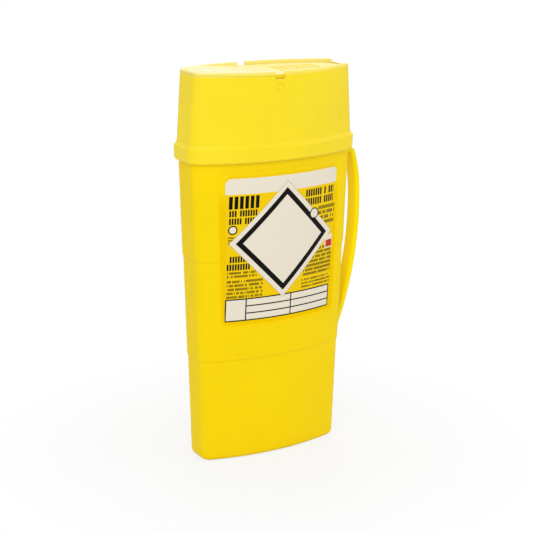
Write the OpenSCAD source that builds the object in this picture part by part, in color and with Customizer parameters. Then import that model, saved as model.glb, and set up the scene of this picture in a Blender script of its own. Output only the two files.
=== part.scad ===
// Pocket sharps container: a slim drafted tub with a carry strap, a tall clip-on lid,
// a see-saw flap on two trunnions and a securing tab that locks the flap for good.
// Millimetres, +Z up. The origin is the middle of the tub's footprint on the ground,
// +X points to the end with the strap, -Y is the front with the label.

/* [Tub] */
// Height of the tub from the ground to the underside of the lid's collar
shell_h = 171; // [165:0.5:178]
// Length of the tub at its base
base_l = 88.4; // [86:0.2:91]
// Depth of the tub at the middle of its base
base_d = 33.4; // [31:0.2:36]
// Width of the flat part of each end at the base
base_flat = 8.8; // [8:0.2:10]
// Length of the tub under the collar
top_l = 98.8; // [97:0.2:101]
// Depth of the tub at the middle, under the collar
top_d = 43.4; // [42:0.2:45]
// Width of the flat part of each end under the collar
top_flat = 11.8; // [11:0.2:13]
// Radius of the four upright corners
corner_r = 6.8; // [6.6:0.1:7.6]
// Thickness of the tub's wall
tub_wall = 1.5; // [1.3:0.1:1.7]
// Thickness of the tub's floor
tub_floor = 1.8; // [1.4:0.1:2.6]
// Radius round the foot of the tub
foot_r = 3; // [2:0.1:3.4]
// Radius between the tub's floor and its wall, inside
floor_r = 1.8; // [1:0.1:2.2]

/* [Nesting steps] */
// Height of the lower step
step_low_z = 59.6; // [50:0.5:64]
// Height of the upper step
step_high_z = 117.2; // [112:0.2:120]
// How far the wall is set in below each step
step_in = 0.45; // [0.3:0.05:0.6]
// Height over which a step runs out
step_run = 0.9; // [0.6:0.1:1.6]

/* [Rim and snap] */
// How far the tub's rim rises inside the collar
rim_rise = 7; // [6.5:0.1:7.4]
// How far the snap bead stands out of the rim
bead_out = 0.8; // [0.5:0.05:0.9]
// Height of the snap bead
bead_h = 2.8; // [2.2:0.1:3]
// Distance of the snap bead below the rim's top
bead_drop = 1; // [0.8:0.1:1.3]
// Chamfer on the rim's upper edges
rim_chamfer = 0.3; // [0.2:0.05:0.4]

/* [Label panel] */
// Depth of the label panel below the upper band of the wall
panel_in = 0.75; // [0.65:0.05:0.9]
// Width of the panel at its lower edge
panel_w_low = 72; // [68:0.5:73]
// Width of the panel at its upper edge
panel_w_high = 77.5; // [73:0.5:78]
// Distance of the panel's upper edge below the lid's collar
panel_drop = 4.5; // [3.5:0.1:8]
// Height of the panel
panel_h = 87; // [80:0.5:89]
// Corner radius of the panel
panel_r = 3.5; // [2:0.5:6]
// How far the panel's middle lies towards the strap
panel_x = 1.4; // [0:0.1:2]
// Margin of the label inside the panel
label_margin = 2.6; // [2.4:0.1:4.5]
// Radius of the label's two upper corners
label_r_high = 2.8; // [1:0.1:3.5]
// Radius of the label's two lower corners
label_r_low = 0.8; // [0.4:0.1:3.5]
// Thickness of the label sheet
label_t = 0.12; // [0.08:0.02:0.3]

/* [Carry strap] */
// Width of the strap along Y
strap_w = 9.2; // [7:0.1:9.4]
// Thickness of the strap
strap_t = 3; // [2.4:0.1:3.6]
// Radius on the strap's long edges
strap_edge = 1; // [0.6:0.1:1.2]
// Distance of the strap's outer face from the tub's middle, at its farthest point
strap_reach = 60.9; // [59:0.1:61.5]
// Height of the strap's farthest point
strap_peak_z = 137; // [133:0.5:141]
// Radius of the long bow
bow_r = 200; // [190:5:215]
// Height where the long bow meets the tighter bow above it
turn_z = 147; // [142:0.5:152]
// Radius of the tighter bow
turn_r = 80; // [65:1:110]
// Gap between the bend at the strap's upper end and the lid's collar
crook_gap = 0.4; // [0.3:0.1:2]
// Radius of the bend under the collar
crook_r = 3.2; // [2.6:0.1:4.5]

/* [Lid] */
// Overall height of the container
total_h = 219.5; // [217:0.5:222]
// Height of the collar
collar_h = 9.5; // [9.3:0.1:10.5]
// How far the collar stands out of the tub's wall
collar_out = 2.4; // [2.2:0.1:3]
// Radius on the collar's upper edge
collar_edge = 1; // [0.8:0.1:1.4]
// Height of the slope from the collar up to the lid's wall
shoulder_run = 0.7; // [0.5:0.1:1]
// How far the lid's wall stands out of the tub's wall where it leaves the collar
lid_foot_out = 0.7; // [0.5:0.05:1]
// Length of the lid at its top
lid_top_l = 96; // [94.6:0.2:97.4]
// Depth of the lid at its top
lid_top_d = 44.4; // [43.4:0.2:45]
// Width of the flat part of each end at the lid's top
lid_top_flat = 12; // [10:0.2:14]
// Thickness of the lid's wall
lid_wall = 1.6; // [1.4:0.05:1.8]
// Radius on the outer edge of the lid's rim
rim_edge = 0.8; // [0.5:0.1:1]
// Chamfers on the rim's inner edge and at the collar's mouth
lead_in = 0.4; // [0.2:0.05:0.5]
// How far the rim on the pressed side lies below the flap's raised end
rim_drop = 0.5; // [0.3:0.1:1]
// Depth of the dip in the rim across the end on the pressed side
end_drop = 1.4; // [1:0.1:1.8]
// Width of that dip
end_dip_w = 15; // [12:0.5:16]
// Depth that the sealing skirt reaches below the collar
skirt_drop = 3; // [2:0.5:6]
// Thickness of the sealing skirt
skirt_wall = 1.3; // [1:0.1:1.6]
// Gap between the sealing skirt and the inside of the tub
skirt_gap = 0.2; // [0.15:0.05:0.35]
// Gap between the collar's inside and the tub's rim
collar_gap = 0.25; // [0.2:0.05:0.35]

/* [Pivot] */
// Distance of the pivot from the middle of the lid, away from the strap
pivot_x = 3.8; // [3:0.1:5]
// Depth of the pivot's centre below the top
pivot_drop = 8.7; // [8.4:0.1:9.2]
// Diameter of the flap's trunnions
pin_d = 3.8; // [3.2:0.1:4.2]
// Clearance of a trunnion in its bore, all round
pin_gap = 0.08; // [0.05:0.01:0.1]
// Width of the snap-in notch in the rim above each bore
notch_w = 6; // [5.8:0.1:7]
// Depth of the notch below the top
notch_drop = 4.6; // [4.2:0.1:4.8]
// Diameter of the thick pad round each bore, inside the wall
pad_d = 9; // [8:0.1:10]
// How far the pad stands in from the wall
pad_t = 0.8; // [0.6:0.1:1]

/* [Flap] */
// Depth of the flap's pressed side below the rim
flap_drop = 1.8; // [1.4:0.1:2.2]
// Distance of the middle of the lid from the line where the flap's ramp ends
ramp_x = 36; // [33:0.5:38]
// Thickness of the flap's lip over the lid's end wall
lip_end = 1.3; // [1.1:0.1:1.6]
// Height of the lip beside the pivot
lip_pivot = 2.1; // [1.8:0.1:2.4]
// Gap between the closed flap's lip and the lid's lowered wall
seat_gap = 0.3; // [0.25:0.05:0.5]
// Thickness of the flap's plate
flap_t = 1.8; // [1.5:0.1:2.2]
// Gap between the flap and the lid's side walls
flap_gap = 0.6; // [0.5:0.05:0.8]
// Further gap at the two ends, for the swing
flap_end_gap = 0.5; // [0.4:0.1:1]
// Depth of the flap's edge skirt on the pressed side
edge_low = 2; // [1:0.1:2.2]
// Depth of the flap's edge skirt and ribs on the lifting side, which weigh it shut
edge_high = 3; // [2.4:0.1:3.2]
// Thickness of the edge skirt and the ribs
rib_t = 1.2; // [1:0.1:1.5]
// Number of cross ribs under the lifting side
rib_count = 3; // [2:1:3]
// Distance between the cross ribs
rib_pitch = 10.5; // [9:0.5:11]
// Length of the press area
press_l = 28; // [24:0.5:30]
// Width of the press area
press_w = 15; // [12:0.5:17]
// Distance of the press area's near end from the pivot
press_x = 7.5; // [7:0.1:10]
// Depth of the press area
press_in = 0.4; // [0.2:0.05:0.6]
// Number of grip ridges in the press area
press_ridges = 5; // [3:1:7]
// Width of each trunnion ear
ear_w = 9; // [8:0.1:10]
// Thickness of each trunnion ear
ear_t = 2; // [1.6:0.1:2.4]

/* [Securing tab] */
// Length of the tab's head along Y
tab_l = 15; // [13:0.2:16]
// Width of the tab's head
tab_w = 3; // [2.8:0.1:3.2]
// Gap round the tab's head in the flap's slot
tab_gap = 0.4; // [0.35:0.05:0.5]
// Width of the bar left between the slot and the flap's end
tab_bar = 1.9; // [1.7:0.1:2.1]
// Thickness of the tab's head
tab_head = 1.6; // [1.4:0.1:1.8]
// Length of each leg along Y
leg_l = 4; // [3:0.1:4.6]
// Thickness of each leg
leg_t = 1.8; // [1.4:0.1:2.2]
// Distance of each leg from the head's end
leg_inset = 1; // [0.6:0.1:1.4]
// Width of the ledge that the tab locks into
ledge_l = 10; // [9.5:0.1:11]
// Thickness of the ledge
ledge_t = 1.6; // [1.4:0.1:2]
// Gap between the flap's edge skirt and the ledge
ledge_gap = 0.4; // [0.35:0.05:0.6]

/* [Hidden] */

tub_yellow = "#FADB0A";
lid_yellow = "#FBE13A";
label_ground = "#F5D90F";

arc_steps = 12;
corner_steps = 6;
edge_steps = 4;
bend_steps = 5;
turn_steps = 5;
bow_steps = 16;
eps = 0.01;
cut_over = 3;
round_fn = 48;

foot_rings = 4;
rim_z = shell_h + rim_rise;
panel_z = shell_h - panel_drop - panel_h;
bead_top = rim_z - bead_drop;
bead_low = bead_top - bead_h;
collar_top = shell_h + collar_h;
side_rim = total_h - rim_drop;
press_top = side_rim - flap_drop;
pivot = [-pivot_x, 0, total_h - pivot_drop];
ledge_top = total_h - flap_t - edge_high - ledge_gap;
// How far out the strap ends, inside the tub's wall
strap_end_x = top_l / 2 - tub_wall;
// The collar's lower edge is rolled under as far as its mouth allows
collar_roll = collar_out - collar_gap - 3 / 2 * lead_in;

// A section is [half length, half depth, half flat, corner radius]: two shallow arcs
// between two flat ends, all met by the corner arcs without a kink.
base_section = [base_l / 2, base_d / 2, base_flat / 2, corner_r];
top_section = [top_l / 2, top_d / 2, top_flat / 2, corner_r];
lid_foot_section = grown(tub_section(collar_top), lid_foot_out);
lid_top_section = [lid_top_l / 2, lid_top_d / 2, lid_top_flat / 2, corner_r];

function mixed(a, b, t) = a + (b - a) * t;
function clamp01(t) = max(0, min(1, t));
function grown(s, g) = [s[0] + g, s[1] + g, s[2], s[3] + g];
function tub_section(z) = mixed(base_section, top_section, z / shell_h);
function lid_part(z) = clamp01((z - collar_top) / (total_h - collar_top));
function lid_section(z) = mixed(lid_foot_section, lid_top_section, lid_part(z));

// Sagitta, radius and half angle of a section's long arcs, taken at the corners' centres
function core_l(s) = s[0] - s[3];
function core_sag(s) = s[1] - s[3] - s[2];
function core_r(s) = (core_l(s) * core_l(s) + core_sag(s) * core_sag(s)) / (2 * core_sag(s));
function core_angle(s) = asin(core_l(s) / core_r(s));

// The quarter outline from the middle of the front to the end, at a growth g
function front_arc(s, g) =
    let(r = core_r(s), a = core_angle(s), w = s[3] + g, c = s[1] - s[3] - r)
    [for (i = [0 : arc_steps]) let(t = a * i / arc_steps)
        [(r + w) * sin(t), -c - (r + w) * cos(t)]];
function corner_arc(s, g) =
    let(a = core_angle(s), w = s[3] + g)
    [for (i = [1 : corner_steps]) let(t = mixed(a, 90, i / corner_steps))
        [core_l(s) + w * sin(t), -s[2] - w * cos(t)]];
function quarter(s, g) = concat(front_arc(s, g), corner_arc(s, g));
function outline(s, g) =
    let(q = quarter(s, g), m = len(q) - 1)
    concat(
        q,
        [for (i = [m : -1 : 0]) [q[i][0], -q[i][1]]],
        [for (i = [1 : m]) [-q[i][0], -q[i][1]]],
        [for (i = [m : -1 : 1]) [-q[i][0], q[i][1]]]
    );
function ring(s, g, z) = [for (p = outline(s, g)) [p[0], p[1], z]];
// The front face's Y at a given X, at a growth g
function front_y(s, g, x) =
    let(r = core_r(s))
    -(s[1] - s[3] - r) - sqrt((r + s[3] + g) * (r + s[3] + g) - x * x);

// Outer growth of the tub's wall with its two nesting steps
function step_at(z, level) = clamp01((level - z) / step_run + 1 / 2);
function tub_growth(z) = -step_in * (step_at(z, step_low_z) + step_at(z, step_high_z));
function tub_ring(g, z) = ring(tub_section(z), g + tub_growth(z), z);
step_levels = [
    step_low_z - step_run / 2,
    step_low_z + step_run / 2,
    step_high_z - step_run / 2,
    step_high_z + step_run / 2
];

function lid_ring(g, z) = ring(lid_section(z), g, z);
// Points round a quarter of a circle of radius r about the point [g, z], from an angle on
function edge_arc(g, z, r, from) =
    [for (k = [0 : edge_steps]) let(t = from + 90 * k / edge_steps) [g + r * cos(t), z + r * sin(t)]];

module skin(rings, closed) {
    n = len(rings[0]);
    m = len(rings);
    spans = closed ? m : m - 1;
    sides = [for (k = [0 : spans - 1], i = [0 : n - 1])
        let(u = (k + 1) % m, j = (i + 1) % n)
        each [[k * n + i, u * n + i, u * n + j], [k * n + i, u * n + j, k * n + j]]];
    caps = closed ? [] : [[for (i = [0 : n - 1]) i], [for (i = [n - 1 : -1 : 0]) (m - 1) * n + i]];
    polyhedron([for (r = rings) each r], concat(sides, caps));
}

// A slab along the front wall between two growths, as wide as the panel and its margins
module front_slab(g_in, g_out) {
    low = panel_z - cut_over;
    high = panel_z + panel_h + cut_over;
    reach = panel_w_high / 2 + panel_x + cut_over;
    steps = 2 * arc_steps;
    rows = [for (z = [low, high], g = [g_out, g_in])
        [for (i = [0 : steps]) let(x = mixed(-reach, reach, i / steps))
            [x, front_y(tub_section(z), g, x), z]]];
    skin([
        concat(rows[0], [for (i = [steps : -1 : 0]) rows[1][i]]),
        concat(rows[2], [for (i = [steps : -1 : 0]) rows[3][i]])
    ], false);
}

// The panel's outline as a block through the front wall, smaller by a margin, with its
// own radius at the upper and the lower corners
module panel_block(margin, r_high, r_low) {
    low = panel_w_low / 2 - margin - r_low;
    high = panel_w_high / 2 - margin - r_high;
    bottom = margin + r_low;
    top = panel_h - margin - r_high;
    corners = [
        [-low, bottom, 180, r_low],
        [low, bottom, 270, r_low],
        [high, top, 0, r_high],
        [-high, top, 90, r_high]
    ];
    translate([panel_x, 0, panel_z])
        rotate([90, 0, 0])
            linear_extrude(top_d)
                polygon([for (c = corners, i = [0 : corner_steps])
                    let(t = c[2] + 90 * i / corner_steps)
                    [c[0] + c[3] * cos(t), c[1] + c[3] * sin(t)]]);
}

module container_body() {
    inner = -tub_wall;
    foot_growth = tub_growth(0);
    rings = concat(
        [for (k = [0 : foot_rings]) let(t = 90 * k / foot_rings)
            ring(tub_section(0), foot_growth - foot_r * (1 - sin(t)), foot_r * (1 - cos(t)))],
        [for (z = step_levels) tub_ring(0, z)],
        [tub_ring(0, shell_h)],
        [tub_ring(0, bead_low)],
        [tub_ring(bead_out, bead_low + bead_out)],
        [tub_ring(bead_out, bead_top - bead_out)],
        [tub_ring(0, bead_top)],
        [tub_ring(-rim_chamfer, rim_z)],
        [tub_ring(inner + rim_chamfer, rim_z)],
        [tub_ring(inner, rim_z - rim_chamfer)],
        [for (i = [len(step_levels) - 1 : -1 : 0]) tub_ring(inner, step_levels[i])],
        [for (k = [0 : foot_rings - 1]) let(t = 90 * k / foot_rings)
            tub_ring(inner - floor_r * (1 - cos(t)), tub_floor + floor_r * (1 - sin(t)))],
        [tub_ring(inner - floor_r, tub_floor)]
    );
    color(tub_yellow) difference() {
        skin(rings, false);
        intersection() {
            front_slab(-panel_in, cut_over);
            panel_block(0, panel_r, panel_r);
        }
    }
}

module label_sheet() {
    color(label_ground) intersection() {
        front_slab(-panel_in, label_t - panel_in);
        panel_block(label_margin, label_r_high, label_r_low);
    }
}

// The strap's middle line in the XZ plane: [x, z, heading], from the wall below to the
// wall under the collar. The heading is the angle of the outward normal from +X.
function strap_line() =
    let(
        bow_c = [strap_reach - strap_t / 2 - bow_r, strap_peak_z],
        bow_low = asin((strap_peak_z - step_low_z) / bow_r),
        bow_high = asin((turn_z - strap_peak_z) / bow_r),
        turn_c = bow_c + (bow_r - turn_r) * [cos(bow_high), sin(bow_high)],
        crook_z = shell_h - crook_gap - strap_t / 2 - crook_r,
        turn_high = asin((crook_z - turn_c[1]) / (turn_r - crook_r)),
        crook_c = turn_c + (turn_r - crook_r) * [cos(turn_high), sin(turn_high)]
    )
    concat(
        [for (i = [0 : bow_steps]) let(t = mixed(-bow_low, bow_high, i / bow_steps))
            [bow_c[0] + bow_r * cos(t), bow_c[1] + bow_r * sin(t), t]],
        [for (i = [1 : turn_steps]) let(t = mixed(bow_high, turn_high, i / turn_steps))
            [turn_c[0] + turn_r * cos(t), turn_c[1] + turn_r * sin(t), t]],
        [for (i = [1 : bend_steps]) let(t = mixed(turn_high, 90, i / bend_steps))
            [crook_c[0] + crook_r * cos(t), crook_c[1] + crook_r * sin(t), t]],
        [[strap_end_x, crook_z + crook_r, 90]]
    );

// A rounded rectangle across the strap: [along the normal, along Y]
function strap_profile() =
    let(u = strap_t / 2 - strap_edge, v = strap_w / 2 - strap_edge)
    [for (c = [[u, v, 0], [-u, v, 90], [-u, -v, 180], [u, -v, 270]])
        each edge_arc(c[0], c[1], strap_edge, c[2])];

module carry_handle() {
    rings = [for (p = strap_line())
        [for (q = strap_profile())
            [p[0] + q[0] * cos(p[2]), q[1], p[1] + q[0] * sin(p[2])]]];
    color(tub_yellow) difference() {
        skin(rings, false);
        skin([for (z = concat([floor_r], step_levels, [shell_h])) tub_ring(0, z)], false);
    }
}

module pivot_cylinder(d, y0, y1) {
    for (side = [0, 1])
        mirror([0, side, 0])
            translate(pivot + [0, y0, 0])
                rotate([-90, 0, 0])
                    cylinder(d = d, h = y1 - y0, $fn = round_fn);
}

// Inner half depth of the lid's wall beside the pivot
lid_bore_y = -front_y(lid_section(pivot[2]), -lid_wall, pivot_x);
pad_y = lid_bore_y - pad_t;
end_inner = lid_section(ledge_top)[0] - lid_wall;
tab_slot_x = lid_top_l / 2 - tab_bar - tab_gap - tab_w / 2;
seat_end = total_h - lip_end;
seat_pivot = side_rim - lip_pivot;
lip_x = pivot_x + notch_w / 2;
leg_y = (tab_l - leg_l) / 2 - leg_inset;
far_x = lid_top_l;

module lid_shell() {
    groove_low = bead_low - collar_gap;
    skirt_out = -tub_wall - skirt_gap;
    skirt_in = skirt_out - skirt_wall;
    skirt_low = shell_h - skirt_drop;
    edge_g = collar_out - collar_edge;
    roll_g = collar_out - collar_roll;
    wall_low = collar_top + shoulder_run;
    wall_mid = mixed(wall_low, side_rim, 1 / 2);
    skin(concat(
        [tub_ring(collar_gap + lead_in, shell_h)],
        [for (p = edge_arc(roll_g, shell_h + collar_roll, collar_roll, -90)) tub_ring(p[0], p[1])],
        [for (p = edge_arc(edge_g, collar_top - shoulder_run - collar_edge, collar_edge, 0))
            tub_ring(p[0], p[1])],
        [lid_ring(lead_in, collar_top)],
        [lid_ring(0, wall_low)],
        [lid_ring(0, wall_mid)],
        [for (p = edge_arc(-rim_edge, side_rim - rim_edge, rim_edge, 0)) lid_ring(p[0], p[1])],
        [lid_ring(lead_in / 2 - lid_wall, side_rim)],
        [lid_ring(-lid_wall, side_rim - lead_in / 2)],
        [lid_ring(-lid_wall, wall_mid)],
        [lid_ring(-lid_wall, wall_low)],
        [tub_ring(skirt_in, rim_z)],
        [tub_ring(skirt_in, skirt_low)],
        [tub_ring(skirt_out - lead_in, skirt_low)],
        [tub_ring(skirt_out, skirt_low + skirt_wall)],
        [tub_ring(skirt_out, rim_z)],
        [tub_ring(bead_out + collar_gap, rim_z)],
        [tub_ring(bead_out + collar_gap, groove_low + bead_out)],
        [tub_ring(collar_gap, groove_low)],
        [tub_ring(collar_gap, shell_h + lead_in)]
    ), true);
}

// A block that reaches across the lid, drawn in the XZ plane
module across(points) {
    rotate([90, 0, 0])
        linear_extrude(2 * lid_top_d, center = true)
            polygon(points);
}

module lid_housing() {
    color(lid_yellow) difference() {
        union() {
            lid_shell();
            intersection() {
                skin([for (z = [pivot[2] - pad_d, total_h - notch_drop]) lid_ring(-lid_wall / 2, z)], false);
                pivot_cylinder(pad_d, pad_y, lid_top_d / 2);
            }
            intersection() {
                skin([for (z = [ledge_top - ledge_t, ledge_top]) lid_ring(-lid_wall / 2, z)], false);
                translate([-end_inner - lid_wall, -top_d / 2, ledge_top - 2 * ledge_t])
                    cube([ledge_l + lid_wall, top_d, 3 * ledge_t]);
            }
        }
        pivot_cylinder(pin_d + 2 * pin_gap, pad_y - cut_over, lid_top_d / 2 + cut_over);
        for (side = [0, 1])
            mirror([0, side, 0])
                translate([-pivot_x - notch_w / 2, pad_y - cut_over, total_h - notch_drop])
                    cube([notch_w, pad_t + lid_wall + 2 * cut_over, notch_drop + cut_over]);
        // The lowered wall that the flap's lip closes on
        across([
            [-far_x, seat_end - seat_gap],
            [-ramp_x, seat_end - seat_gap],
            [-lip_x, seat_pivot - seat_gap],
            [-lip_x, total_h + cut_over],
            [-far_x, total_h + cut_over]
        ]);
        translate([end_inner - cut_over, -end_dip_w / 2, side_rim - end_drop])
            cube([far_x, end_dip_w, end_drop + cut_over]);
        for (side = [0, 1])
            mirror([0, side, 0])
                translate([-tab_slot_x, leg_y, ledge_top - ledge_t / 2])
                    cube([leg_t + 2 * tab_gap, leg_l + 2 * tab_gap, 2 * ledge_t], center = true);
    }
}

// The flap's outline in plan inside the walls, at an inset from its edge, with the
// further gap at the end that swings down
module flap_plan(inset) {
    intersection() {
        polygon(outline(lid_top_section, -lid_wall - flap_gap - inset));
        translate([-far_x, -lid_top_d / 2])
            square([far_x + lid_top_l / 2 - lid_wall - flap_gap - flap_end_gap - inset, lid_top_d]);
    }
}

// The line of the plate's upper face along X, moved by a height: level over the end with
// the tab, a ramp down to the pivot, level on the pressed side
function plate_line(dz) = [
    [-far_x, total_h + dz],
    [-ramp_x, total_h + dz],
    [-pivot_x, press_top + dz],
    [far_x, press_top + dz]
];

module plate_band(low, high) {
    upper = plate_line(high);
    lower = plate_line(low);
    across(concat(lower, [for (i = [len(upper) - 1 : -1 : 0]) upper[i]]));
}

// One side of the pivot: -1 lifts, +1 is pressed
module pivot_side(side) {
    translate([side * far_x - pivot_x, 0, total_h])
        cube([2 * far_x, 2 * lid_top_d, 2 * collar_h + total_h - collar_top], center = true);
}

// The lips that close on the lowered walls and the end wall
module flap_lips() {
    intersection() {
        translate([0, 0, seat_pivot - flap_t])
            linear_extrude(total_h)
                difference() {
                    polygon(outline(lid_top_section, 0));
                    flap_plan(rib_t);
                }
        across([
            [-far_x, seat_end],
            [-ramp_x, seat_end],
            [-lip_x - seat_gap, seat_pivot],
            [-lip_x - seat_gap, side_rim],
            [-ramp_x, total_h],
            [-far_x, total_h]
        ]);
    }
}

// Edge skirt, deeper on the lifting side, which has the cross ribs too
module flap_skirt() {
    for (half = [[-1, edge_high, rib_count], [1, edge_low, 0]])
        intersection() {
            translate([0, 0, press_top - flap_t - half[1]])
                linear_extrude(total_h) {
                    difference() {
                        flap_plan(0);
                        flap_plan(rib_t);
                    }
                    if (half[2] > 0)
                        intersection() {
                            flap_plan(rib_t / 2);
                            union()
                                for (k = [1 : half[2]])
                                    translate([-k * rib_pitch - pivot_x - rib_t / 2, -lid_top_d / 2])
                                        square([rib_t, lid_top_d]);
                        }
                }
            plate_band(-flap_t - half[1], -flap_t / 2);
            pivot_side(half[0]);
        }
}

module rocker_flap() {
    ear_y = pad_y - flap_gap / 2;
    slot = [tab_w + 2 * tab_gap, tab_l + 2 * tab_gap];
    guide_h = flap_t + edge_high;
    press_under = press_top - flap_t;
    ridge_pitch = press_l / (press_ridges + 1);
    color(lid_yellow) {
        difference() {
            union() {
                intersection() {
                    translate([0, 0, press_under])
                        linear_extrude(total_h)
                            flap_plan(0);
                    plate_band(-flap_t, 0);
                }
                flap_lips();
                flap_skirt();
                // Guide round the tab's slot, open towards the end wall
                translate([0, 0, total_h - guide_h])
                    linear_extrude(guide_h)
                        intersection() {
                            translate([-tab_slot_x, 0])
                                square(slot + 2 * [rib_t, rib_t], center = true);
                            flap_plan(0);
                        }
            }
            translate([-tab_slot_x, 0, total_h - guide_h - eps])
                linear_extrude(guide_h + 2 * eps)
                    square(slot, center = true);
            // Relief round the lid's pads
            pivot_cylinder(pad_d + flap_gap, ear_y, lid_top_d / 2);
            // Press area with its grip ridges
            difference() {
                translate([press_x - pivot_x, -press_w / 2, press_top - press_in])
                    cube([press_l, press_w, press_in + eps]);
                for (k = [1 : press_ridges])
                    translate([press_x - pivot_x + k * ridge_pitch - rib_t / 2, rib_t - press_w / 2, press_under])
                        cube([rib_t, press_w - 2 * rib_t, flap_t + 2 * eps]);
            }
        }
        // Ears that carry the trunnions
        for (side = [0, 1])
            mirror([0, side, 0])
                translate([-pivot_x - ear_w / 2, ear_y - ear_t, pivot[2]])
                    cube([ear_w, ear_t, press_top - flap_t / 2 - pivot[2]]);
        pivot_cylinder(ear_w, ear_y - ear_t, ear_y);
        pivot_cylinder(pin_d, ear_y - ear_t / 2, lid_bore_y + lid_wall - pin_gap);
    }
}

module securing_tab() {
    leg_h = flap_t + edge_high - tab_head;
    color(lid_yellow) translate([-tab_slot_x, 0, 0]) {
        translate([0, 0, total_h - tab_head / 2])
            cube([tab_w, tab_l, tab_head], center = true);
        for (side = [-1, 1])
            translate([0, side * leg_y, total_h - tab_head - leg_h / 2])
                cube([leg_t, leg_l, leg_h + 2 * eps], center = true);
    }
}

container_body();
carry_handle();
lid_housing();
rocker_flap();
securing_tab();
label_sheet();
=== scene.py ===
from math import asin, atan2, copysign, cos, hypot, pi, radians, sin, sqrt

import bmesh
import bpy
from mathutils import Matrix, Vector


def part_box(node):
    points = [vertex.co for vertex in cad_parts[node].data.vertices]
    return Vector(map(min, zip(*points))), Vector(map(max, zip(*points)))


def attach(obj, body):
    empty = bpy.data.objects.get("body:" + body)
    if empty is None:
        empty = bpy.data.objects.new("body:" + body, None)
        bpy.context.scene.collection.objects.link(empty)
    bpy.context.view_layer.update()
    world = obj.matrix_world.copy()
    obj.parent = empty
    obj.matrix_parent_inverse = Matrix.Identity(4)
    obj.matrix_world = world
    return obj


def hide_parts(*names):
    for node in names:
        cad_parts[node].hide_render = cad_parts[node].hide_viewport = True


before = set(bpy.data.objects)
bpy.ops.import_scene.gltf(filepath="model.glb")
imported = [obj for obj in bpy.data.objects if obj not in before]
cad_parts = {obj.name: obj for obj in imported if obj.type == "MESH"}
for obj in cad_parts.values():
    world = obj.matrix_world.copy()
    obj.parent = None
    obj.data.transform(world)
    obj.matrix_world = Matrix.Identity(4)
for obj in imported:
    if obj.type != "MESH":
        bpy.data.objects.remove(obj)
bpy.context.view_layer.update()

bl_info = {
    "name": "Pocket Sharps Container",
    "version": (1, 0, 0),
    "blender": (4, 5, 0),
    "location": "3D View > Sidebar > Sharps",
    "description": "Dresses the packed frame of a pocket sharps container: tub, strap, lid and label",
    "category": "Add Mesh",
}

# Lengths in this file are millimetres, unless a name ends in _m or _M. MM turns them to metres.
MM = 0.001

# The plan sections of the tub and lid: half length, half depth, half flat end, corner radius
SHELL_H = 171.0
BASE_SECTION = (44.2, 16.7, 4.4, 6.8)
COLLAR_SECTION = (49.4, 21.7, 5.9, 6.8)
COLLAR_TOP = 180.5
LID_FOOT_OUT = 0.7
LID_TOP_SECTION = (48.0, 22.2, 6.0, 6.8)
TOTAL_H = 219.5
TUB_WALL = 1.5
TUB_FLOOR = 1.8
FOOT_R = 3.0
FLOOR_R = 1.8
# The nesting steps: heights, how far each steps in, and the height that it takes
STEPS_Z = (59.6, 117.2)
STEP_IN = 0.45
STEP_RUN = 1.5
# The snap bead: how far it stands out, its height, and its drop below the rim
BEAD = (0.8, 2.8, 1.0)
RIM_CHAMFER = 0.3
# Heights between the steps where the tub's inside has a ring of its own
INNER_Z = (30, 90, 150)

# The label panel: middle, lower and upper width, foot, height, corner radius, depth
PANEL_X = 1.4
PANEL_W = (72.0, 77.5)
PANEL_Z = 79.5
PANEL_H = 87.0
PANEL_R = 3.5
PANEL_IN = 0.75
# The panel's edge is this many times softer at its top, over this height
PANEL_FADE = 4.5
PANEL_FADE_H = 45.0
# Half the width of the finely cut zone over the panel's edge, and how far the zone beside it
# reaches across and up
EDGE_ZONE = 1.2
NEAR_X = 5
NEAR_Z = 4.5

# The label: margin to the panel's edge, lower and upper corner radius, how far its face and its
# back stand off the panel
LABEL_MARGIN = 2.6
LABEL_R = (0.8, 2.8)
LABEL_T = 0.12
LABEL_BACK = 0.01
# The label is stuck on a little askew: its lean to the right per height, level with its middle
LABEL_LEAN = 0.0245
LABEL_MID_Z = 123.0
# The panel's painted shade, a deeper tone for the recess: half the width of its soft edge, and where it
# fades out below the header
PANEL_SHADE_SOFT = 1.2
PANEL_SHADE_FADE_Z = (147.0, 158.0)

# The strap's middle line: the long bow's radius and widest height, the tighter bow's radius
# and start, the bend under the collar
BOW_R = 200.0
BOW_Z = 137.0
TURN_R = 80.0
TURN_Z = 147.0
CROOK_R = 3.2
CROOK_GAP = 0.4
STRAP_T = 3.0

# The underside of the flap's lip: X and Z at the ramp and beside the pivot, and how far it is
# let down towards the lid's wall, within the running gap
LIP_SEAT = ((-36.0, 218.2), (-7.1, 216.9))
LIP_LET_DOWN = 0.2
# A point belongs to that underside if it is this near to it, across and up
LIP_NEAR = (0.01, 0.02)

# Points of the solids' meshes that are one point, and edges too short to be rounded
SAME_POINT_M = 2e-6
SHORT_EDGE_M = 0.1 * MM
# Facets that meet at less than FLAT are one face, edges sharper than SHARP are rounded
FLAT = radians(0.4)
SHARP = radians(42)
# A facet is part of a drafted wall if it is this upright and turned this little from the wall,
# and its own slope counts up to this one
WALL_UPRIGHT = 0.3
WALL_TURN = radians(13)
WALL_SLOPE = 0.15


def linear(hexa):
    """An sRGB hex colour as linear red, green and blue."""
    parts = [int(hexa[i : i + 2], 16) / 255 for i in (1, 3, 5)]
    return [p / 12.92 if p <= 0.04045 else ((p + 0.055) / 1.055) ** 2.4 for p in parts]


def mix(a, b, t):
    """The value a share t of the way from a to b."""
    return a + (b - a) * t


def smooth(low, high, value):
    """0 below low and 1 above high, with a soft rise between them."""
    t = min(max((value - low) / (high - low), 0.0), 1.0)
    return t * t * (3 - 2 * t)


def spread(low, high, count):
    """count + 1 even values from low to high."""
    return [mix(low, high, i / count) for i in range(count + 1)]


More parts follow.
